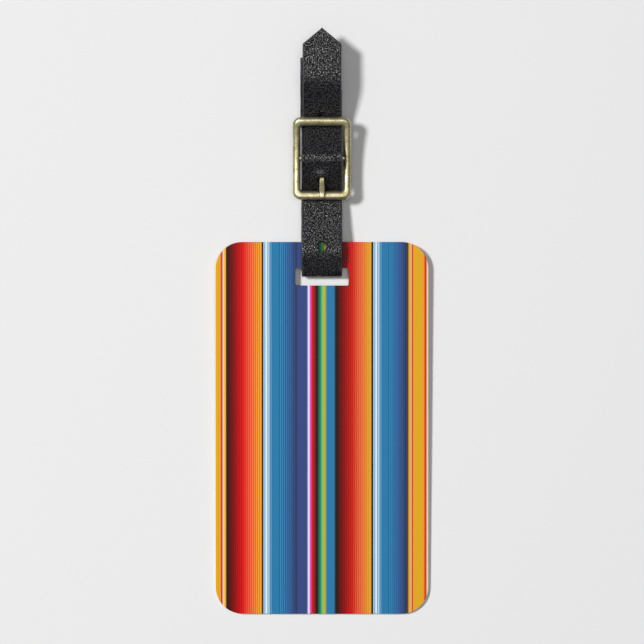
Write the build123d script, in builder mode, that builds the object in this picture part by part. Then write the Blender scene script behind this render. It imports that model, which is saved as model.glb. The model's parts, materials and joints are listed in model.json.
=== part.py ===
from build123d import *
import os
from math import asin, atan2, cos, degrees, radians, sin

# Luggage tag on a buckled leather strap, lying face up on a table, in millimetres.
# +Y runs from the plate towards the strap's point, +Z is up, and the origin is on the
# table under the middle of the whole length.

# ---- tag plate -------------------------------------------------------------------
tag_width = 50.8
tag_length = 88.9
tag_corner_radius = 6.35
core_thickness = 0.9
coat_thickness = 0.1
slot_side_gap = 1.6
slot_height = 4.25
slot_margin = 6.15
slot_corner_radius = 0.4

# ---- leather strap ---------------------------------------------------------------
strap_width = 9.5
strap_thickness = 1.2
slot_to_bar = 26.05
bar_to_loop_end = 24.05
bar_to_point = 30.75
point_length = 3.8
loop_bend_radius = 3.4
slot_bend_radius = 1.7
slot_bulge = 2.2
crest_radius = 7.0
crest_rise = 4.6
slot_to_crest = 4.3
tail_crest_radius = 8.0
end_bar_to_leg_end = 6.85
hole_width = 2.0
hole_length = 2.5
used_hole_length = 4.4
slot_to_spare_hole = 5.0
used_hole_past_middle = 0.15
end_bar_to_last_hole = 1.5
slot_to_flex = 11.3
end_bar_to_tail_flex = 4.5
lower_flex_gap = 1.6
tail_flex_gap = 0.6

# ---- buckle ----------------------------------------------------------------------
strap_side_gap = 0.325
side_bar_width = 1.875
frame_thickness = 2.1
end_bar_width = 2.1
end_bar_reach = 8.8
frame_bow = 1.0
frame_tilt = 6.0
frame_corner_radius = 1.9
window_corner_radius = 0.65
frame_rounding = 0.9
bar_radius = 0.8
bar_end_wall = 0.65
bar_lift = 0.2

# ---- prong -----------------------------------------------------------------------
prong_width = 1.3
prong_thickness = 1.0
prong_wall = 0.75
prong_lift = 0.35
prong_bend_past_middle = 0.2
prong_bend_radius = 4.0
prong_overhang = 0.8
prong_rounding = 0.3

# ---- rivet -----------------------------------------------------------------------
rivet_head_radius = 2.0
rivet_head_thickness = 0.5
rivet_head_proud = 0.2
rivet_post_radius = 0.8
end_bar_to_rivet = 4.3

# ---- clearances ------------------------------------------------------------------
running_clearance = 0.05
rest_gap = 0.05
layer_gap = 0.25
fold_gap = 0.1
bar_gap = 0.45
plate_gap = 0.2
slit_gap = 0.2

# ---- widths, heights and lengths that follow --------------------------------------
half_strap = strap_thickness / 2
slot_width = strap_width + 2 * slot_side_gap
window_width = strap_width + 2 * strap_side_gap
frame_width = window_width + 2 * side_bar_width
bar_length = frame_width - 2 * bar_end_wall
prong_reach = end_bar_reach + prong_overhang
# the prong goes through the strap about midway between the centre bar and the end bar
bar_to_used_hole = end_bar_reach / 2 + used_hole_past_middle
prong_bend_reach = end_bar_reach / 2 + prong_bend_past_middle
# the folded end, both strands and the free end lie on one another at the buckle
bar_height = 4 * strap_thickness + bar_lift
tag_thickness = core_thickness + 2 * coat_thickness
tag_below_slot = tag_length - slot_margin
tag_height = strap_thickness + plate_gap + tag_thickness / 2
tag_tilt = asin((tag_height - tag_thickness / 2) / tag_below_slot)

overall_length = tag_below_slot * cos(tag_tilt) + slot_to_bar + bar_to_point
slot_y = tag_below_slot * cos(tag_tilt) - overall_length / 2
bar_y = slot_y + slot_to_bar
end_bar_y = bar_y + end_bar_reach
point_y = bar_y + bar_to_point

tag_plane = Plane(
    origin=(0, slot_y, tag_height),
    x_dir=(1, 0, 0),
    z_dir=(0, -sin(tag_tilt), cos(tag_tilt)),
)
frame_slope = radians(frame_tilt)
frame_plane = Plane(
    origin=(0, bar_y, bar_height),
    x_dir=(1, 0, 0),
    z_dir=(0, -sin(frame_slope), cos(frame_slope)),
)
# The frame seen from its side: local X runs along the frame and local Y is its normal.
frame_side_plane = Plane(
    origin=(0, bar_y, bar_height),
    x_dir=(0, cos(frame_slope), sin(frame_slope)),
    z_dir=(1, 0, 0),
)


def roller(y, z, radius):
    """A round thing that the strap is led over: radius above zero turns it left, below zero
    turns it right, seen with +Y to the right, and zero is an end of the strap."""
    return (y, z, radius)


def end_bar(side):
    """Centre (y, z) of an end bar of the frame: side +1 is the loop end, -1 the tag end."""
    centre = frame_plane.from_local_coords(Vector(0, side * end_bar_reach, frame_bow))
    return (centre.Y, centre.Z)


def straight_run(start, goal):
    """Where the straight run between two rollers leaves one and reaches the other, and its
    heading in radians."""
    span = Vector(goal[0] - start[0], goal[1] - start[1])
    heading = atan2(span.Y, span.X) - asin((goal[2] - start[2]) / span.length)
    left = Vector(-sin(heading), cos(heading))
    leave = Vector(start[0], start[1]) - left * start[2]
    reach = Vector(goal[0], goal[1]) - left * goal[2]
    return leave, reach, heading


def run_plane(start, goal, y):
    """A plane in the strap's middle surface where a straight run passes y, with local Y
    along the strap."""
    leave, reach, heading = straight_run(start, goal)
    share = (y - leave.X) / (reach.X - leave.X)
    z = leave.Y + share * (reach.Y - leave.Y)
    return Plane(
        origin=(0, y, z), x_dir=(1, 0, 0), z_dir=(0, -sin(heading), cos(heading))
    )


def point_on(plane, along=0.0, above=0.0):
    """A strap end at a place on a plane, as a roller of no radius."""
    place = plane.from_local_coords(Vector(0, along, above))
    return roller(place.Y, place.Z, 0)


def draw_face(rollers, left):
    """Draws one face of a strap, at a distance to the left of its middle, in the sketch being
    made, and returns that face's two ends."""
    arrival = None
    arrival_heading = 0.0
    for begin, goal in zip(rollers, rollers[1:]):
        start_y, start_z, start_radius = begin
        run_start, run_end, heading = straight_run(
            roller(start_y, start_z, start_radius - left),
            roller(goal[0], goal[1], goal[2] - left),
        )
        if arrival is None:
            first = run_start
        else:
            turn = degrees(heading - arrival_heading)
            turn = turn % 360 if start_radius > 0 else -(-turn % 360)
            bearing = degrees(atan2(arrival.Y - start_z, arrival.X - start_y))
            CenterArc((start_y, start_z), abs(start_radius - left), bearing, turn)
        Line(run_start, run_end)
        arrival = run_end
        arrival_heading = heading
    return first, arrival


def strip(rollers, width, thickness):
    """A strip of even width and thickness led over the rollers."""
    with BuildPart() as made:
        with BuildSketch(Plane.YZ):
            with BuildLine():
                upper_start, upper_end = draw_face(rollers, thickness / 2)
                lower_start, lower_end = draw_face(rollers, -thickness / 2)
                Line(upper_start, lower_start)
                Line(upper_end, lower_end)
            make_face()
        extrude(amount=width / 2, both=True)
    return made.part


# ---- rollers ---------------------------------------------------------------------
under_bar = end_bar_width / 2 + bar_gap + half_strap
near_y, near_z = end_bar(-1)
far_y, far_z = end_bar(+1)
fold_radius = bar_radius + running_clearance + half_strap
layer_pitch = strap_thickness + layer_gap
fold_pitch = strap_thickness + fold_gap
loop_y = bar_y + bar_to_loop_end - loop_bend_radius - half_strap
loop_z = half_strap + loop_bend_radius

near_bar_roller = roller(near_y, near_z, under_bar)
hump_roller = roller(bar_y, bar_height, -(fold_radius + layer_pitch))
far_bar_roller = roller(far_y, far_z, under_bar)
tail_roller = roller(
    loop_y, loop_z + loop_bend_radius + layer_pitch - tail_crest_radius, -tail_crest_radius
)
fold_roller = roller(bar_y, bar_height, -fold_radius)
strand_roller = roller(far_y, far_z, under_bar + layer_pitch)
leg_roller = roller(far_y, far_z, -(under_bar + layer_pitch + fold_pitch))
loop_roller = roller(loop_y, loop_z, -loop_bend_radius)
slot_roller = roller(
    slot_y - slot_bulge + half_strap + slot_bend_radius,
    half_strap + slot_bend_radius,
    -slot_bend_radius,
)
crest_roller = roller(
    slot_y + slot_to_crest, half_strap + crest_rise - crest_radius, -crest_radius
)
tail_end = roller(point_y, loop_z + loop_bend_radius + layer_pitch - layer_gap, 0)

back_plane = Plane(origin=(0, slot_y + slot_to_flex, half_strap))
front_flex_plane = run_plane(crest_roller, near_bar_roller, slot_y + slot_to_flex)
tail_flex_plane = run_plane(far_bar_roller, tail_roller, end_bar_y + end_bar_to_tail_flex)
rivet_plane = run_plane(strand_roller, loop_roller, end_bar_y + end_bar_to_rivet)
leg_end_plane = run_plane(strand_roller, loop_roller, end_bar_y + end_bar_to_leg_end)
used_hole_plane = run_plane(near_bar_roller, hump_roller, bar_y - bar_to_used_hole)
last_hole_plane = run_plane(far_bar_roller, tail_roller, end_bar_y + end_bar_to_last_hole)


def tag_sheet(height, thickness):
    """A sheet of the plate's outline with its slot, standing on the plate's own plane."""
    with BuildPart() as sheet:
        with BuildSketch(tag_plane.offset(height)):
            with Locations((0, slot_margin - tag_length / 2)):
                RectangleRounded(tag_width, tag_length, tag_corner_radius)
            with Locations((0, -slot_height / 2)):
                RectangleRounded(slot_width, slot_height, slot_corner_radius, mode=Mode.SUBTRACT)
        extrude(amount=thickness)
    return sheet.part


def strap_hole(plane, length):
    """A cutter for a long hole punched square through the strap at a plane on its middle."""
    with BuildPart() as punch:
        with BuildSketch(plane):
            SlotOverall(length, hole_width, rotation=90)
        extrude(amount=strap_thickness, both=True)
    return punch.part


# ---- tag plate: an aluminium core between two printed coats -----------------------
with BuildPart() as tag_core:
    add(tag_sheet(-core_thickness / 2, core_thickness))

with BuildPart() as front_print:
    add(tag_sheet(core_thickness / 2, coat_thickness))

with BuildPart() as back_print:
    add(tag_sheet(-core_thickness / 2, -coat_thickness))

# ---- strap: one strip of leather, in the lengths that bend apart ------------------
# The folded end, round the centre bar, out to the loop's end and back along the table.
with BuildPart() as strap_loop:
    leg_end = point_on(leg_end_plane, above=-fold_pitch)
    back_end = point_on(back_plane, along=lower_flex_gap / 2)
    loop_route = [leg_end, leg_roller, fold_roller, strand_roller, loop_roller, back_end]
    add(strip(loop_route, strap_width, strap_thickness))
    # the slit that lets the prong turn on the bar
    slit_reach = bar_radius + running_clearance + prong_wall + slit_gap
    with BuildSketch(Plane.XY.offset(bar_height)) as slit:
        with Locations((0, bar_y + (slit_reach - fold_radius - strap_thickness) / 2)):
            Rectangle(
                prong_width + 2 * slit_gap, slit_reach + fold_radius + strap_thickness
            )
    extrude(amount=fold_radius + strap_thickness, both=True, mode=Mode.SUBTRACT)
    # the rivet's post hole, and the two hollows that its heads are pressed into
    with BuildSketch(rivet_plane):
        Circle(rivet_post_radius + running_clearance)
    extrude(amount=strap_thickness, both=True, mode=Mode.SUBTRACT)
    with BuildSketch(rivet_plane.offset(-fold_pitch)):
        Circle(rivet_post_radius + running_clearance)
    extrude(amount=strap_thickness, both=True, mode=Mode.SUBTRACT)
    head_seat = half_strap + rivet_head_proud - rivet_head_thickness
    with BuildSketch(rivet_plane.offset(head_seat)):
        Circle(rivet_head_radius + running_clearance)
    extrude(amount=rivet_head_thickness, mode=Mode.SUBTRACT)
    with BuildSketch(rivet_plane.offset(-fold_pitch - head_seat)):
        Circle(rivet_head_radius + running_clearance)
    extrude(amount=-rivet_head_thickness, mode=Mode.SUBTRACT)

# Under the near end bar, over the centre bar and under the far end bar.
with BuildPart() as strap_front:
    front_start = point_on(front_flex_plane, along=lower_flex_gap / 2)
    front_end = point_on(tail_flex_plane, along=-tail_flex_gap / 2)
    front_route = [front_start, near_bar_roller, hump_roller, far_bar_roller, front_end]
    add(strip(front_route, strap_width, strap_thickness))
    add(strap_hole(used_hole_plane, used_hole_length), mode=Mode.SUBTRACT)
    add(strap_hole(last_hole_plane, hole_length), mode=Mode.SUBTRACT)

# Round the plate's margin and through its slot.
with BuildPart() as strap_bend:
    bend_start = point_on(back_plane, along=-lower_flex_gap / 2)
    bend_end = point_on(front_flex_plane, along=-lower_flex_gap / 2)
    bend_route = [bend_start, slot_roller, crest_roller, bend_end]
    add(strip(bend_route, strap_width, strap_thickness))
    spare_hole_height = half_strap + crest_rise
    spare_hole_plane = Plane(origin=(0, slot_y + slot_to_spare_hole, spare_hole_height))
    add(strap_hole(spare_hole_plane, hole_length), mode=Mode.SUBTRACT)

# The free end, cut to a point.
with BuildPart() as strap_tip:
    tip_start = point_on(tail_flex_plane, along=tail_flex_gap / 2)
    add(strip([tip_start, tail_roller, tail_end], strap_width, strap_thickness))
    with BuildSketch(Plane.XY):
        with BuildLine():
            Polyline(
                (-strap_width / 2, bar_y),
                (-strap_width / 2, point_y - point_length),
                (0, point_y),
                (strap_width / 2, point_y - point_length),
                (strap_width / 2, bar_y),
                close=True,
            )
        make_face()
    extrude(amount=overall_length, mode=Mode.INTERSECT)

# ---- buckle ----------------------------------------------------------------------
frame_length = 2 * end_bar_reach + end_bar_width
window_length = 2 * end_bar_reach - end_bar_width
bow_radius = (end_bar_reach**2 + frame_bow**2) / (2 * frame_bow)
bow_angle = degrees(2 * asin(frame_length / 2 / bow_radius))

# A rounded ring whose two sides bow down to the centre bar.
with BuildPart() as buckle_frame:
    with BuildSketch(frame_side_plane):
        with BuildLine():
            bow = CenterArc((0, bow_radius), bow_radius, -90 - bow_angle, 2 * bow_angle)
            offset(bow, amount=frame_thickness / 2, side=Side.BOTH)
        make_face()
    extrude(amount=frame_width, both=True)
    with BuildSketch(frame_plane):
        RectangleRounded(frame_width, frame_length, frame_corner_radius)
        RectangleRounded(window_width, window_length, window_corner_radius, mode=Mode.SUBTRACT)
    extrude(amount=frame_length, both=True, mode=Mode.INTERSECT)
    frame_normal = Axis(frame_plane.origin, frame_plane.z_dir)
    fillet(buckle_frame.edges().filter_by(frame_normal, reverse=True), frame_rounding)
    # the blind holes that hold the centre bar's ends
    with BuildSketch(Plane.YZ):
        with Locations((bar_y, bar_height)):
            Circle(bar_radius)
    extrude(amount=bar_length / 2, both=True, mode=Mode.SUBTRACT)

with BuildPart() as centre_bar:
    with BuildSketch(Plane.YZ):
        with Locations((bar_y, bar_height)):
            Circle(bar_radius)
    extrude(amount=bar_length / 2, both=True)

# The prong's eye turns on the centre bar, and its shank rises over the near end bar.
with BuildPart() as prong:
    over_bar = end_bar_width / 2 + rest_gap + prong_thickness / 2
    shank_height = bar_height + prong_lift
    shank_route = [
        roller(bar_y, shank_height, 0),
        roller(bar_y - prong_bend_reach, shank_height + prong_bend_radius, -prong_bend_radius),
        roller(near_y, near_z, over_bar),
        roller(bar_y - prong_reach, near_z + over_bar - rest_gap, 0),
    ]
    add(strip(shank_route, prong_width, prong_thickness))
    with BuildSketch(Plane.YZ):
        with Locations((bar_y, bar_height)):
            Circle(bar_radius + running_clearance + prong_wall)
    extrude(amount=prong_width / 2, both=True)
    with BuildSketch(Plane.YZ):
        with Locations((bar_y, bar_height)):
            Circle(bar_radius + running_clearance)
    extrude(amount=prong_width / 2, both=True, mode=Mode.SUBTRACT)
    tip_edges = prong.edges().filter_by(Axis.Z, tolerance=20).group_by(Axis.Y)[0]
    fillet(tip_edges, prong_width / 2 - running_clearance)
    side_edges = prong.faces().filter_by(Axis.X).edges()
    fillet(side_edges, prong_rounding)

# ---- rivet: a head with a post, and the cap pressed on the post's end --------------
seat_depth = half_strap + rivet_head_proud
cap_face = seat_depth - rivet_head_thickness
post_grip = rivet_head_thickness / 2

with BuildPart() as rivet_post:
    with BuildSketch(rivet_plane.offset(-fold_pitch - seat_depth)):
        Circle(rivet_head_radius)
    extrude(amount=rivet_head_thickness)
    fillet(rivet_post.faces().sort_by(Axis.Z)[0].edges(), rivet_head_proud)
    with BuildSketch(rivet_plane.offset(-fold_pitch - cap_face)):
        Circle(rivet_post_radius)
    extrude(amount=fold_pitch + 2 * cap_face + post_grip)

with BuildPart() as rivet_cap:
    with BuildSketch(rivet_plane.offset(cap_face)):
        Circle(rivet_head_radius)
    extrude(amount=rivet_head_thickness)
    fillet(rivet_cap.faces().sort_by(Axis.Z)[-1].edges(), rivet_head_proud)
    with BuildSketch(rivet_plane.offset(cap_face)):
        Circle(rivet_post_radius)
    extrude(amount=post_grip, mode=Mode.SUBTRACT)

# ---- one file for each sub-part ---------------------------------------------------
tag_core.part.label = "tag_core"
front_print.part.label = "front_print"
back_print.part.label = "back_print"
strap_loop.part.label = "strap_loop"
strap_front.part.label = "strap_front"
strap_bend.part.label = "strap_bend"
strap_tip.part.label = "strap_tip"
buckle_frame.part.label = "buckle_frame"
centre_bar.part.label = "centre_bar"
prong.part.label = "prong"
rivet_post.part.label = "rivet_post"
rivet_cap.part.label = "rivet_cap"

os.makedirs("parts", exist_ok=True)
export_step(tag_core.part, "parts/tag_core.step")
export_step(front_print.part, "parts/front_print.step")
export_step(back_print.part, "parts/back_print.step")
export_step(strap_loop.part, "parts/strap_loop.step")
export_step(strap_front.part, "parts/strap_front.step")
export_step(strap_bend.part, "parts/strap_bend.step")
export_step(strap_tip.part, "parts/strap_tip.step")
export_step(buckle_frame.part, "parts/buckle_frame.step")
export_step(centre_bar.part, "parts/centre_bar.step")
export_step(prong.part, "parts/prong.step")
export_step(rivet_post.part, "parts/rivet_post.step")
export_step(rivet_cap.part, "parts/rivet_cap.step")
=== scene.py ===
"""Luggage tag: a striped metal plate on a black leather strap with a brass buckle.

The plate, the buckle and the rivet are the CAD solids with new materials. The leather strap
is built here as one bent strip and its free end, led over the same rollers as the CAD strap.
Lengths are written in millimetres and turned into metres as meshes and shaders are made.
"""

import json
from math import asin, atan2, ceil, cos, degrees, pi, radians, sin

import bpy
import numpy as np
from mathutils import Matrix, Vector, noise


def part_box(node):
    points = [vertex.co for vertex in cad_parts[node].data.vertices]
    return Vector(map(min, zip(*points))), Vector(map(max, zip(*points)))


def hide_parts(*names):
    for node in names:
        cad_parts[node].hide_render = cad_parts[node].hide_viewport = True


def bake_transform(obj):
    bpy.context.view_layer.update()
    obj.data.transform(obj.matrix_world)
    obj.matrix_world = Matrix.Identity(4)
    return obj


MM = 0.001

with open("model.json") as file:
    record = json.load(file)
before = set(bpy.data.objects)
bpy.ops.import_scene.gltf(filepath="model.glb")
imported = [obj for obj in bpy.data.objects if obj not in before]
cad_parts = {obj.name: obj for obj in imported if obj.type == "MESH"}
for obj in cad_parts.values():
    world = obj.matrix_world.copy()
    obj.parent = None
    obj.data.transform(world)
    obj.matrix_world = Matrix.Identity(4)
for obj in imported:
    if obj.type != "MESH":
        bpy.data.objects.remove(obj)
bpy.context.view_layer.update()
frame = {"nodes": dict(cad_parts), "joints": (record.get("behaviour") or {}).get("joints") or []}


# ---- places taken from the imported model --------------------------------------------
def joint_place(name):
    """(y, z) of a joint in millimetres."""
    joint = next(j for j in frame["joints"] if j["name"] == name)
    return joint["pos_m"][1] / MM, joint["pos_m"][2] / MM


bar_y, bar_z = joint_place("prong_pivot")
slot_y, slot_z = joint_place("tag_swing")

# ---- strap -------------------------------------------------------------------------
STRAP_WIDTH = 9.5
STRAP_THICKNESS = 1.2
POINT_LENGTH = 3.8
BUCKLE_WIDENING = 0.026
TAIL_NARROWING = 0.03
EDGE_WANDER = 0.05
LOOP_SHIFT = 0.42
BUCKLE_SHIFT = 0.07
PRONG_LIFT = 1.0
EDGE_ROUNDING = 0.28
LENGTH_STEP = 0.2
WIDTH_STEP = 0.2
TAIL_OVERLAP = 0.6

# (y, z, radius) of what the middle of the leather is led over: radius above zero turns the
# strap left, below zero turns it right, and zero is an end.
near_bar = (bar_y - 8.856, bar_z + 0.075, 2.1)
far_bar = (bar_y + 8.647, bar_z + 1.914, 2.1)
STRAP_ROUTE = [
    (bar_y + 16.135, 4.696, 0.0),
    (far_bar[0], far_bar[1], -4.85),
    (bar_y, bar_z, -1.45),
    (far_bar[0], far_bar[1], 3.55),
    (bar_y + 20.05, 4.0, -3.4),
    (slot_y, slot_z, -1.7),
    (slot_y + 4.2, -1.8, -7.0),
    near_bar,
    (bar_y, bar_z, -2.9),
    far_bar,
    (bar_y + 20.05, 0.85, -8.0),
    (bar_y + 30.75, 8.6, 0.0),
]


def straight_run(start, goal):
    """Where the run between two rollers leaves one and reaches the other, and its heading."""
    span = Vector((goal[0] - start[0], goal[1] - start[1]))
    heading = atan2(span.y, span.x) - asin((goal[2] - start[2]) / span.length)
    left = Vector((-sin(heading), cos(heading)))
    leave = Vector(start[:2]) - left * start[2]
    reach = Vector(goal[:2]) - left * goal[2]
    return leave, reach, heading


def round_roller(roller, heading, next_heading):
    """Points (y, z, heading) round a roller, about two degrees apart."""
    turn = next_heading - heading
    turn = turn % (2 * pi) if roller[2] > 0 else -(-turn % (2 * pi))
    count = max(2, ceil(degrees(abs(turn)) / 2))
    points = []
    for step in range(1, count):
        now = heading + turn * step / count
        left = Vector((-sin(now), cos(now)))
        place = Vector(roller[:2]) - left * roller[2]
        points.append((place.x, place.y, now))
    return points, heading + turn


class Line:
    """The middle line of the strap: places and headings by length along it."""

    def __init__(self, rollers):
        points = []
        heading = 0.0
        for start, goal in zip(rollers, rollers[1:]):
            leave, reach, run_heading = straight_run(start, goal)
            if points:
                arc, heading = round_roller(start, heading, run_heading)
                points += arc
            else:
                heading = run_heading
            points += [(leave.x, leave.y, heading), (reach.x, reach.y, heading)]
        table = np.array(points)
        steps = np.hypot(*np.diff(table[:, :2], axis=0).T)
        self.along = np.concatenate([[0.0], np.cumsum(steps)])
        self.table = table
        self.length = self.along[-1]

    def at(self, s):
        """(y, z, heading) at one or many lengths."""
        return [np.interp(s, self.along, self.table[:, k]) for k in range(3)]

    def crossing(self, y, after):
        """The first length beyond after at which the line passes y."""
        lengths = np.arange(after, self.length, 0.02)
        side = self.at(lengths)[0] > y
        return lengths[np.argmax(side != side[0])]


strap_line = Line(STRAP_ROUTE)
FOLD_AT = strap_line.crossing(bar_y - 1.0, 0.0)
SLOT_AT = strap_line.crossing(slot_y - 1.0, FOLD_AT + 20.0)
BUCKLE_AT = strap_line.crossing(bar_y, SLOT_AT + 5.0)
FAR_BAR_AT = strap_line.crossing(far_bar[0], BUCKLE_AT)

# (length along the strap, hole length, hole width)
HOLE_WIDTH = 2.0
HOLE_LENGTH = 2.5
USED_HOLE_LENGTH = 3.2
spare_hole = (strap_line.crossing(slot_y + 4.9, SLOT_AT + 2.0), HOLE_LENGTH, HOLE_WIDTH)
used_hole = (strap_line.crossing(bar_y - 5.05, SLOT_AT + 5.0), USED_HOLE_LENGTH, HOLE_WIDTH)
last_hole = (strap_line.crossing(bar_y + 10.3, BUCKLE_AT), HOLE_LENGTH, HOLE_WIDTH)
slit_start = strap_line.crossing(bar_y + 1.8, 3.0)
slit_end = strap_line.crossing(bar_y + 1.8, FOLD_AT + 1.0)
SLIT_WIDTH = 1.7
slit = ((slit_start + slit_end) / 2, slit_end - slit_start, SLIT_WIDTH)


def smooth(value, low, high):
    """0 below low, 1 above high, and an even curve between."""
    share = np.clip((value - low) / (high - low), 0.0, 1.0)
    return share * share * (3 - 2 * share)


def half_width(s):
    """Half the strap's width: wider up to the buckle, narrower in the free end, cut to a
    point."""
    front = smooth(s, SLOT_AT, SLOT_AT + 6) - smooth(s, FAR_BAR_AT - 2, FAR_BAR_AT)
    tail = smooth(s, FAR_BAR_AT, FAR_BAR_AT + 3)
    body = STRAP_WIDTH / 2 * (1.0 + BUCKLE_WIDENING * front - TAIL_NARROWING * tail)
    edge = EDGE_WANDER * noise.noise(Vector((s * 0.35, 7.0, 0.0)))
    left = strap_line.length - s
    return (body + edge) * min(1.0, max(left / POINT_LENGTH, 0.04))


def side_shift(s):
    """How far the loop and the front strand lie to one side, against the plate's middle."""
    in_loop = smooth(s, FOLD_AT + 8, FOLD_AT + 14) - smooth(s, FOLD_AT + 40, FOLD_AT + 52)
    in_buckle = smooth(s, SLOT_AT, SLOT_AT + 6) - smooth(s, FAR_BAR_AT - 2, FAR_BAR_AT)
    return -LOOP_SHIFT * in_loop - BUCKLE_SHIFT * in_buckle


def grain_height(u, s):
    """Height of the leather's pebbled face: rounded cells and broad hollows."""
    cell = Vector((u / 0.5, s / 0.64, 0.0))
    near, far = noise.voronoi(cell + 0.35 * noise.noise_vector(cell * 0.6))[0][:2]
    pebble = smooth(far - near, 0.0, 0.7)
    broad = noise.noise(Vector((u / 4.5, s / 7.0, 3.0)))
    return 0.014 * pebble + 0.03 * broad - 0.024


def prong_lift(u, s):
    """How far the prong raises the leather between its hole and the centre bar."""
    past = s - used_hole[0] - used_hole[1] / 2
    return PRONG_LIFT * np.exp(-((u / 2.4) ** 2)) * np.exp(-((past / 1.5) ** 2))


# ---- strap mesh ----------------------------------------------------------------------
def section(count):
    """One ring of the strap, (share of half width, inset, height) in mm: the grain side from
    left to right, then the right edge, the back, and the left edge."""
    half = STRAP_THICKNESS / 2
    across = np.linspace(-1, 1, count)
    corner = [(0.0, half - EDGE_ROUNDING), (0.0, 0.0), (0.0, -half + EDGE_ROUNDING)]
    bevel = 0.3 * EDGE_ROUNDING
    ring = [(a, EDGE_ROUNDING * abs(a), half) for a in across]
    ring += [(1, bevel, half - bevel)] + [(1, i, h) for i, h in corner] + [(1, bevel, bevel - half)]
    ring += [(a, EDGE_ROUNDING * abs(a), -half) for a in across[::-1]]
    ring += [(-1, bevel, bevel - half)] + [(-1, i, h) for i, h in corner[::-1]]
    ring += [(-1, bevel, half - bevel)]
    return ring


def onto_outline(u, s, hole):
    """The point of a long round hole's outline that is nearest to (u, s)."""
    middle, length, width = hole
    straight = (length - width) / 2
    core = np.clip(s - middle, -straight, straight)
    du, ds = u, s - middle - core
    reach = max(np.hypot(du, ds), 1e-6)
    return du / reach * width / 2, middle + core + ds / reach * width / 2


def in_hole(u, s, hole):
    """Whether a point of the flat strap lies in a hole."""
    middle, length, width = hole
    straight = (length - width) / 2
    core = np.clip(s - middle, -straight, straight)
    return np.hypot(u, s - middle - core) < width / 2


def flat_strap(start, end, holes, count):
    """Points (u, s, h) and faces (corners, kind) of a flat strip with its holes punched."""
    rows = max(2, int(round((end - start) / LENGTH_STEP)))
    lengths = np.linspace(start, end, rows + 1)
    ring = section(count)
    size = len(ring)
    points = []
    for s in lengths:
        half = half_width(s)
        for share, inset, height in ring:
            sign = 1 if share > 0 else -1
            points.append([share * half - sign * min(inset, half * 0.5), s, height])
    first_back = count + 5
    faces = []
    for row in range(rows):
        s = (lengths[row] + lengths[row + 1]) / 2
        holes_here = [h for h in holes if abs(s - h[0]) < h[1] / 2 + 0.5]
        gone = set()
        for column in range(count - 1):
            corner = row * size + column
            u = (points[corner][0] + points[corner + 1][0]) / 2
            if any(in_hole(u, s, hole) for hole in holes_here):
                gone |= {column, first_back + count - 2 - column}
        for column in range(size):
            if column in gone:
                continue
            after = (column + 1) % size
            low, high = row * size, (row + 1) * size
            kind = 0 if column < count - 1 else 1
            if first_back <= column < first_back + count - 1:
                kind = 2
            faces.append(((low + column, low + after, high + after, high + column), kind))
    last = rows * size
    faces.append((tuple(range(size))[::-1], 1))
    faces.append((tuple(last + column for column in range(size)), 1))
    return points, faces, size, first_back


def punch_walls(points, faces, size, first_back, count, holes):
    """Moves the ragged rims of the holes onto their outlines and adds the walls between."""
    uses = {}
    for corners, _ in faces:
        for a, b in zip(corners, corners[1:] + corners[:1]):
            uses[frozenset((a, b))] = uses.get(frozenset((a, b)), 0) + 1
    rim = [tuple(edge) for edge, used in uses.items() if used == 1]
    moved = {}
    for vertex in {v for edge in rim for v in edge}:
        u, s, _ = points[vertex]
        hole = min(holes, key=lambda h: abs(h[0] - s))
        moved[vertex] = onto_outline(u, s, hole)
    for vertex, (u, s) in moved.items():
        points[vertex][:2] = [u, s]
    for a, b in rim:
        if a % size < count and b % size < count:
            below = [opposite(vertex, size, first_back, count) for vertex in (b, a)]
            faces.append(((a, b, *below), 1))


def opposite(vertex, size, first_back, count):
    """The back face's vertex under a vertex of the grain face."""
    row, column = divmod(vertex, size)
    return row * size + first_back + count - 1 - column


def bend_strap(points, grain_vertices):
    """Leads flat strap points (u, s, h) along the strap's line, in metres."""
    table = np.array(points)
    y, z, heading = strap_line.at(table[:, 1])
    height = table[:, 2] + prong_lift(table[:, 0], table[:, 1])
    for index in grain_vertices:
        u, s, _ = points[index]
        height[index] += grain_height(u, s)
    shift = side_shift(table[:, 1])
    placed = np.column_stack(
        [table[:, 0] + shift, y - np.sin(heading) * height, z + np.cos(heading) * height]
    )
    placed[:, 2] = np.maximum(placed[:, 2], 0.0)
    return placed * MM


def build_strap(name, start, end, holes):
    """A length of the leather strap as a mesh object, with lengths in its UV map."""
    count = int(round(STRAP_WIDTH / WIDTH_STEP)) + 1
    points, faces, size, first_back = flat_strap(start, end, holes, count)
    if holes:
        punch_walls(points, faces, size, first_back, count, holes)
    grain = [i for i in range(len(points)) if 0 < i % size < count - 1]
    placed = bend_strap(points, grain)
    mesh = bpy.data.meshes.new(name)
    mesh.from_pydata(placed.tolist(), [], [corners for corners, _ in faces])
    mesh.polygons.foreach_set("material_index", [kind for _, kind in faces])
    flat = np.array(points)[:, :2] * MM
    corners = np.zeros(len(mesh.loops), np.int32)
    mesh.loops.foreach_get("vertex_index", corners)
    mesh.uv_layers.new(name="Lengths").data.foreach_set("uv", flat[corners].ravel())
    mesh.validate()
    mesh.polygons.foreach_set("use_smooth", [True] * len(mesh.polygons))
    mesh.set_sharp_from_angle(angle=radians(50))
    piece = bpy.data.objects.new(name, mesh)
    bpy.context.scene.collection.objects.link(piece)
    return piece


# ---- shader helpers --------------------------------------------------------------------
def srgb(red, green, blue):
    """A colour given as 0 to 255 values, as Blender's linear RGBA."""
    parts = [c / 255 for c in (red, green, blue)]
    return [c / 12.92 if c <= 0.04045 else ((c + 0.055) / 1.055) ** 2.4 for c in parts] + [1.0]


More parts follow.
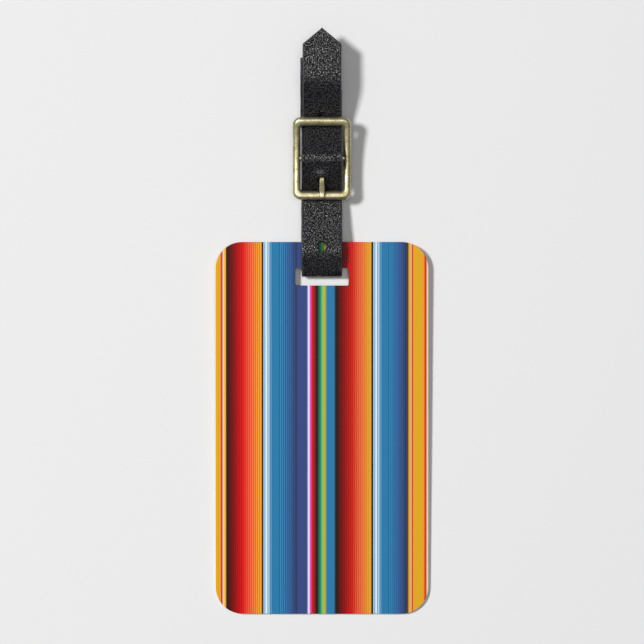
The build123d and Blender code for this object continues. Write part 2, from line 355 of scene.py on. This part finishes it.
def put(tree, kind, output=0, **values):
    """Adds a node and returns one output. A value may be a setting, a number or a socket."""
    node = tree.nodes.new(kind)
    for name, value in values.items():
        if hasattr(node, name):
            setattr(node, name, value)
            continue
        place = int(name[1:]) if name[0] == "i" and name[1:].isdigit() else name.replace("_", " ")
        socket = node.inputs[place]
        if isinstance(value, bpy.types.NodeSocket):
            tree.links.new(value, socket)
        else:
            socket.default_value = value
    return node.outputs[output]


def compute(tree, operation, first, second=0.0, clamp=False):
    """first operation second."""
    return put(
        tree, "ShaderNodeMath", operation=operation, use_clamp=clamp, i0=first, i1=second
    )


def ramp(tree, value, stops, mode="LINEAR"):
    """A colour ramp with stops [(place, colour), ...]."""
    output = put(tree, "ShaderNodeValToRGB", Fac=value)
    band = output.node.color_ramp
    band.interpolation = mode
    while len(band.elements) > 1:
        band.elements.remove(band.elements[-1])
    band.elements[0].position = stops[0][0]
    band.elements[0].color = stops[0][1]
    for place, colour in stops[1:]:
        band.elements.new(place).color = colour
    return output


def mix(tree, share, first, second):
    """A colour between first and second."""
    return put(
        tree, "ShaderNodeMix", output=2, data_type="RGBA", i0=share, i6=first, i7=second
    )


def spread(tree, value, low, high, to_low, to_high):
    """value moved from low..high to to_low..to_high, and held there."""
    return put(
        tree, "ShaderNodeMapRange", i0=value, i1=low, i2=high, i3=to_low, i4=to_high
    )


def speckle(tree, coords, size, detail=3.0, stretch=(1, 1, 1), roughness=0.5):
    """Noise from 0 to 1 whose patches are about size millimetres."""
    scale = [k / (size * MM) for k in stretch]
    placed = put(tree, "ShaderNodeVectorMath", operation="MULTIPLY", i0=coords, i1=scale)
    return put(
        tree, "ShaderNodeTexNoise", Vector=placed, Scale=1.0, Detail=detail, Roughness=roughness
    )


def blend_noise(tree, first, second, share):
    """Two noises added together, with share of the second."""
    first_part = compute(tree, "MULTIPLY", first, 1 - share)
    return compute(tree, "ADD", first_part, compute(tree, "MULTIPLY", second, share))


def bump(tree, height, depth, strength=1.0, under=None):
    """A bump of depth millimetres on top of another normal."""
    values = {"Height": height, "Strength": strength, "Distance": depth * MM}
    if under is not None:
        values["Normal"] = under
    return put(tree, "ShaderNodeBump", **values)


def new_material(name, **constants):
    """A material with one principled shader, and its tree and shader."""
    material = bpy.data.materials.new(name)
    material.use_nodes = True
    shader = material.node_tree.nodes["Principled BSDF"]
    for key, value in constants.items():
        shader.inputs[key.replace("_", " ")].default_value = value
    return material, material.node_tree, shader


def wire(tree, shader, **sockets):
    """Links sockets to the shader's inputs."""
    for key, socket in sockets.items():
        tree.links.new(socket, shader.inputs[key.replace("_", " ")])


# ---- leather -----------------------------------------------------------------------------
def leather_grain_painted_sheen():
    """The strap's black pebbled face: dull hollows, and small glossier crowns painted lighter grey
    as a painted sheen.
    """
    material, tree, shader = new_material("leather_grain_painted_sheen")
    coords = put(tree, "ShaderNodeUVMap", uv_map="Lengths")
    fine = speckle(tree, coords, 0.3, 1.5, (1, 0.8, 1), 0.55)
    broad = speckle(tree, coords, 1.3, 3.0)
    height = blend_noise(tree, fine, broad, 0.15)
    crown_and_painted_sheen = spread(tree, height, 0.48, 0.6, 0.0, 1.0)
    tone = speckle(tree, coords, 5.0, 4.0, (1, 0.6, 1))
    dye = ramp(tree, tone, [(0.3, srgb(7, 7, 9)), (0.7, srgb(15, 15, 17))])
    # Painted sheen: the crowns are painted lighter grey than the dye, standing in for the light they
    # reflect.
    colour = mix(tree, crown_and_painted_sheen, dye, srgb(52, 52, 55))
    gloss = spread(tree, crown_and_painted_sheen, 0.0, 1.0, 0.1, 1.0)
    roughness = spread(tree, crown_and_painted_sheen, 0.0, 1.0, 0.5, 0.25)
    normal = bump(tree, height, 0.16, 1.0)
    wire(
        tree, shader, Base_Color=colour, Specular_IOR_Level=gloss, Roughness=roughness, Normal=normal
    )
    return material


def leather_edge():
    """The cut edge: dyed, rubbed and a little fibrous."""
    material, tree, shader = new_material("leather_edge", Specular_IOR_Level=0.4)
    coords = put(tree, "ShaderNodeTexCoord", output=3)
    fibre = speckle(tree, coords, 0.35, 4.0, (1, 0.35, 2.2))
    stops = [(0.3, srgb(36, 36, 39)), (0.6, srgb(62, 63, 68)), (0.8, srgb(88, 89, 95))]
    colour = ramp(tree, fibre, stops)
    roughness = spread(tree, fibre, 0.3, 0.7, 0.45, 0.7)
    wire(tree, shader, Base_Color=colour, Roughness=roughness, Normal=bump(tree, fibre, 0.08, 0.7))
    return material


def leather_flesh():
    """The strap's back: dyed suede with a short nap."""
    material, tree, shader = new_material("leather_flesh", Specular_IOR_Level=0.2, Sheen_Weight=0.3)
    coords = put(tree, "ShaderNodeUVMap", uv_map="Lengths")
    nap = speckle(tree, coords, 0.3, 5.0, (1, 0.7, 1), 0.7)
    patch = speckle(tree, coords, 4.0, 3.0)
    height = compute(tree, "ADD", nap, patch)
    colour = ramp(tree, height, [(0.35, srgb(22, 20, 19)), (0.65, srgb(46, 42, 40))])
    roughness = spread(tree, nap, 0.2, 0.8, 0.8, 0.97)
    wire(tree, shader, Base_Color=colour, Roughness=roughness, Normal=bump(tree, nap, 0.09, 0.8))
    return material


# ---- metal ---------------------------------------------------------------------------------
def antique_brass(name):
    """Aged brass: bright where it is rubbed, olive where the tarnish stays."""
    material, tree, shader = new_material(name, Metallic=1.0)
    coords = put(tree, "ShaderNodeTexCoord", output=3)
    blotch = speckle(tree, coords, 2.0, 5.0, roughness=0.62)
    fine = speckle(tree, coords, 0.34, 3.0)
    amount = blend_noise(tree, blotch, fine, 0.45)
    stops = [
        (0.36, srgb(146, 138, 102)),
        (0.47, srgb(186, 177, 138)),
        (0.56, srgb(208, 200, 164)),
        (0.68, srgb(230, 224, 198)),
    ]
    colour = ramp(tree, amount, stops)
    brushed = speckle(tree, coords, 0.12, 2.0, (0.25, 1, 1))
    roughness = spread(tree, amount, 0.35, 0.68, 0.54, 0.4)
    dents = bump(tree, blotch, 0.06, 0.5)
    normal = bump(tree, brushed, 0.012, 0.5, bump(tree, fine, 0.03, 0.5, dents))
    wire(tree, shader, Base_Color=colour, Roughness=roughness, Normal=normal)
    return material


def bare_aluminium():
    """The plate's cut edge between its two prints."""
    material, tree, shader = new_material("plate_edge", Metallic=1.0)
    coords = put(tree, "ShaderNodeTexCoord", output=3)
    sawn = speckle(tree, coords, 0.3, 3.0, (1, 1, 0.2))
    colour = ramp(tree, sawn, [(0.3, srgb(168, 170, 172)), (0.7, srgb(222, 223, 225))])
    roughness = spread(tree, sawn, 0.3, 0.7, 0.28, 0.5)
    wire(tree, shader, Base_Color=colour, Roughness=roughness, Normal=bump(tree, sawn, 0.03, 0.5))
    return material


# ---- stripes -------------------------------------------------------------------------------
GOLD = (229, 171, 36)
BRIGHT_ORANGE = (254, 143, 56)
RUST = (174, 54, 4)
ROSE = (216, 140, 122)
CREAM = (253, 216, 178)
AMBER = (226, 170, 74)
BROWN = (62, 22, 10)
CRIMSON = (178, 24, 26)
VERMILION = (222, 58, 36)
OCHRE = (222, 164, 54)
INK = (36, 26, 14)
ICE = (186, 214, 230)
SKY = (122, 172, 208)
BLUE = (44, 125, 172)
MID_BLUE = (46, 108, 160)
NAVY = (46, 56, 98)
SLATE = (59, 75, 132)
PERIWINKLE = (96, 106, 160)
LILAC = (236, 219, 250)
PINK = (228, 100, 206)
MAGENTA = (232, 60, 160)
BLACK = (24, 22, 20)
PINE = (44, 96, 78)
JADE = (64, 160, 116)
LEAF = (126, 196, 118)
OLIVE = (178, 186, 84)
STONE = (140, 154, 106)


def between(first, last, share):
    """A colour part of the way from one to the other."""
    return tuple(a + (b - a) * share for a, b in zip(first, last))


def threads(colours, count, contrast):
    """Fine lines whose colour runs through colours while they turn lighter and darker."""
    lines = []
    for line in range(count):
        place = line / max(count - 1, 1) * (len(colours) - 1)
        low = min(int(place), len(colours) - 2)
        tone = between(colours[low], colours[low + 1], place - low)
        lift = 1 + contrast * (1 if line % 2 else -1)
        lines.append((THREAD, tuple(min(255, c * lift) for c in tone)))
    return lines


THREAD = 0.24
WARM_COLOURS = [
    (88, 16, 16),
    (112, 16, 15),
    (158, 10, 12),
    (188, 14, 18),
    (204, 24, 18),
    VERMILION,
    (242, 86, 58),
    (240, 104, 56),
    (238, 132, 48),
    (232, 150, 40),
    OCHRE,
]
WARM_RUN = threads(WARM_COLOURS, 33, contrast=0.12)
ICE_RUN = [
    (THREAD, ICE),
    (THREAD, SKY),
    (2 * THREAD, (222, 240, 250)),
    (THREAD, (96, 156, 196)),
    (THREAD, (206, 228, 240)),
    (THREAD, (64, 134, 180)),
    (THREAD, (104, 162, 198)),
    (THREAD, BLUE),
]
BLUE_RUN = threads([BLUE, MID_BLUE, (52, 88, 142), NAVY], 18, contrast=0.2)


def single_threads(*colours):
    """One thread of each colour."""
    return [(THREAD, colour) for colour in colours]


EDGE_IN = single_threads(BRIGHT_ORANGE, RUST, ROSE, CREAM, (250, 189, 96), AMBER)

# (width in mm, colour) from the plate's left edge to its right edge.
STRIPES = (
    [(0.98, GOLD)]
    + EDGE_IN
    + [(0.62, BROWN)]
    + WARM_RUN
    + [(0.34, INK)]
    + ICE_RUN
    + [(1.6, BLUE)]
    + BLUE_RUN
    + [(2.24, SLATE), (0.2, PERIWINKLE), (0.46, LILAC)]
    + single_threads(PINK, MAGENTA, (214, 30, 70))
    + [(0.42, CRIMSON)]
    + single_threads((128, 24, 23), (68, 27, 25))
    + [(0.3, BLACK), (0.2, (50, 72, 62))]
    + single_threads(PINE, (50, 130, 100), JADE, LEAF)
    + [(0.26, (160, 190, 84)), (0.4, OLIVE)]
    + single_threads(STONE, (70, 124, 140))
    + [(1.68, BLUE), (THREAD, (56, 66, 88)), (0.62, (42, 26, 26))]
    + WARM_RUN
    + [(0.42, INK)]
    + ICE_RUN
    + [(1.44, BLUE)]
    + BLUE_RUN
    + [(0.3, (51, 47, 44))]
    + single_threads((161, 128, 47), AMBER)
    + [(0.46, (239, 176, 118))]
    + single_threads(RUST, BRIGHT_ORANGE, (242, 164, 40))
    + [(1.72, GOLD), (0.44, (244, 160, 36))]
    + single_threads((234, 107, 26), RUST, ROSE)
    + [(0.32, CREAM)]
)
STOPS_IN_RAMP = 28


def stripe_colour(tree, across):
    """The printed stripes' colour, from across running 0 to 1 over the plate's width."""
    total = sum(width for width, _ in STRIPES)
    places = np.cumsum([0.0] + [width for width, _ in STRIPES]) / total
    colour = None
    for first in range(0, len(STRIPES), STOPS_IN_RAMP):
        part = STRIPES[first : first + STOPS_IN_RAMP]
        low, high = places[first], places[first + len(part)]
        share = spread(tree, across, low, high, 0.0, 1.0)
        shares = (places[first : first + len(part)] - low) / (high - low)
        stops = [(place, srgb(*tone)) for place, (_, tone) in zip(shares, part)]
        band = ramp(tree, share, stops, "CONSTANT")
        if colour is None:
            colour = band
        else:
            colour = mix(tree, compute(tree, "GREATER_THAN", across, low), colour, band)
    return colour


def striped_print(name, node):
    """The matte printed coat of one face of the plate."""
    material, tree, shader = new_material(
        name, Coat_Weight=0.02, Coat_Roughness=0.12, Specular_IOR_Level=0.04
    )
    low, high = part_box(node)
    coords = put(tree, "ShaderNodeTexCoord", output=3)
    x = put(tree, "ShaderNodeSeparateXYZ", Vector=coords)
    bleed = compute(tree, "MULTIPLY", speckle(tree, coords, 0.5, 2.0), 0.0004)
    across = compute(tree, "ADD", spread(tree, x, low.x, high.x, -0.0002, 0.9998), bleed)
    ink = stripe_colour(tree, across)
    scratches = speckle(tree, coords, 0.25, 2.0, (0.05, 1, 1))
    roughness = spread(tree, scratches, 0.3, 0.75, 0.26, 0.4)
    ripple = bump(tree, speckle(tree, coords, 0.7, 2.0), 0.006, 0.3)
    wire(tree, shader, Base_Color=ink, Roughness=roughness, Normal=ripple)
    return material


# ---- the pieces ------------------------------------------------------------------------------
def dress(node, material):
    """Gives a CAD node one material in place of its own."""
    piece = frame["nodes"][node]
    piece.data.materials.clear()
    piece.data.materials.append(material)


def make_strap():
    """The leather: the long strip on the strap's two bending bodies, and its free end."""
    skins = [leather_grain_painted_sheen(), leather_edge(), leather_flesh()]
    strip = build_strap("strap_leather", 0.0, FAR_BAR_AT, [slit, spare_hole, used_hole])
    tail = build_strap("strap_tail", FAR_BAR_AT - TAIL_OVERLAP, strap_line.length, [last_hole])
    for piece in (strip, tail):
        for skin in skins:
            piece.data.materials.append(skin)
    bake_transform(strip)
    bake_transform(tail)
    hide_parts("strap_loop", "strap_front", "strap_bend")
    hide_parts("strap_tip")


def dress_metal_and_plate():
    """Materials for the CAD nodes that stay."""
    dress("tag_core", bare_aluminium())
    dress("front_print", striped_print("front_stripes", "front_print"))
    dress("back_print", striped_print("back_stripes", "back_print"))
    dress("buckle_frame", antique_brass("buckle_brass"))
    dress("centre_bar", antique_brass("pin_brass"))
    dress("prong", antique_brass("prong_brass"))
    rivet = antique_brass("rivet_brass")
    dress("rivet_post", rivet)
    dress("rivet_cap", rivet)


# ---- table, light and camera -------------------------------------------------------------------
VIEW_WIDTH = 153.9
LENS = 200.0
SENSOR = 36.0
LENS_OFF_TABLE = 2.0
TABLE_REACH = 3.0
SURROUND = 0.14


def make_table():
    """A plain pale table under the object."""
    mesh = bpy.data.meshes.new("table")
    reach = TABLE_REACH
    corners = [(-reach, -reach, 0), (reach, -reach, 0), (reach, reach, 0), (-reach, reach, 0)]
    mesh.from_pydata(corners, [], [(0, 1, 2, 3)])
    table = bpy.data.objects.new("table", mesh)
    bpy.context.scene.collection.objects.link(table)
    material, _, _ = new_material(
        "table_paper", Base_Color=srgb(240, 240, 240), Roughness=0.9, Specular_IOR_Level=0.1
    )
    mesh.materials.append(material)


def add_light(name, direction, distance, size, watts):
    """A square soft light that looks at the object from a direction."""
    light = bpy.data.lights.new(name, "AREA")
    light.shape = "SQUARE"
    light.size = size
    light.energy = watts
    lamp = bpy.data.objects.new(name, light)
    lamp.location = Vector(direction).normalized() * distance
    lamp.rotation_mode = "QUATERNION"
    lamp.rotation_quaternion = lamp.location.to_track_quat("Z", "Y")
    bpy.context.scene.collection.objects.link(lamp)


def make_light():
    """A soft key from the upper left, a weak top light, and an even pale surround."""
    add_light("key", (-0.55, 0.21, 1.0), 2.4, 0.36, 42.0)
    add_light("top", (0.06, 0.03, 1.0), 1.3, 0.5, 3.1)
    world = bpy.data.worlds.new("surround")
    world.use_nodes = True
    background = world.node_tree.nodes["Background"]
    background.inputs["Color"].default_value = (1.0, 1.0, 1.0, 1.0)
    background.inputs["Strength"].default_value = SURROUND
    bpy.context.scene.world = world
    bpy.context.scene.view_settings.view_transform = "Standard"


def make_camera():
    """Straight above the object, far off with a long lens."""
    camera = bpy.data.cameras.new("camera")
    camera.lens = LENS
    camera.sensor_width = SENSOR
    camera.clip_end = 10.0
    eye = bpy.data.objects.new("camera", camera)
    eye.location = (0, 0, (VIEW_WIDTH * LENS / SENSOR + LENS_OFF_TABLE) * MM)
    bpy.context.scene.collection.objects.link(eye)
    bpy.context.scene.camera = eye


make_strap()
dress_metal_and_plate()
make_table()
make_light()
make_camera()
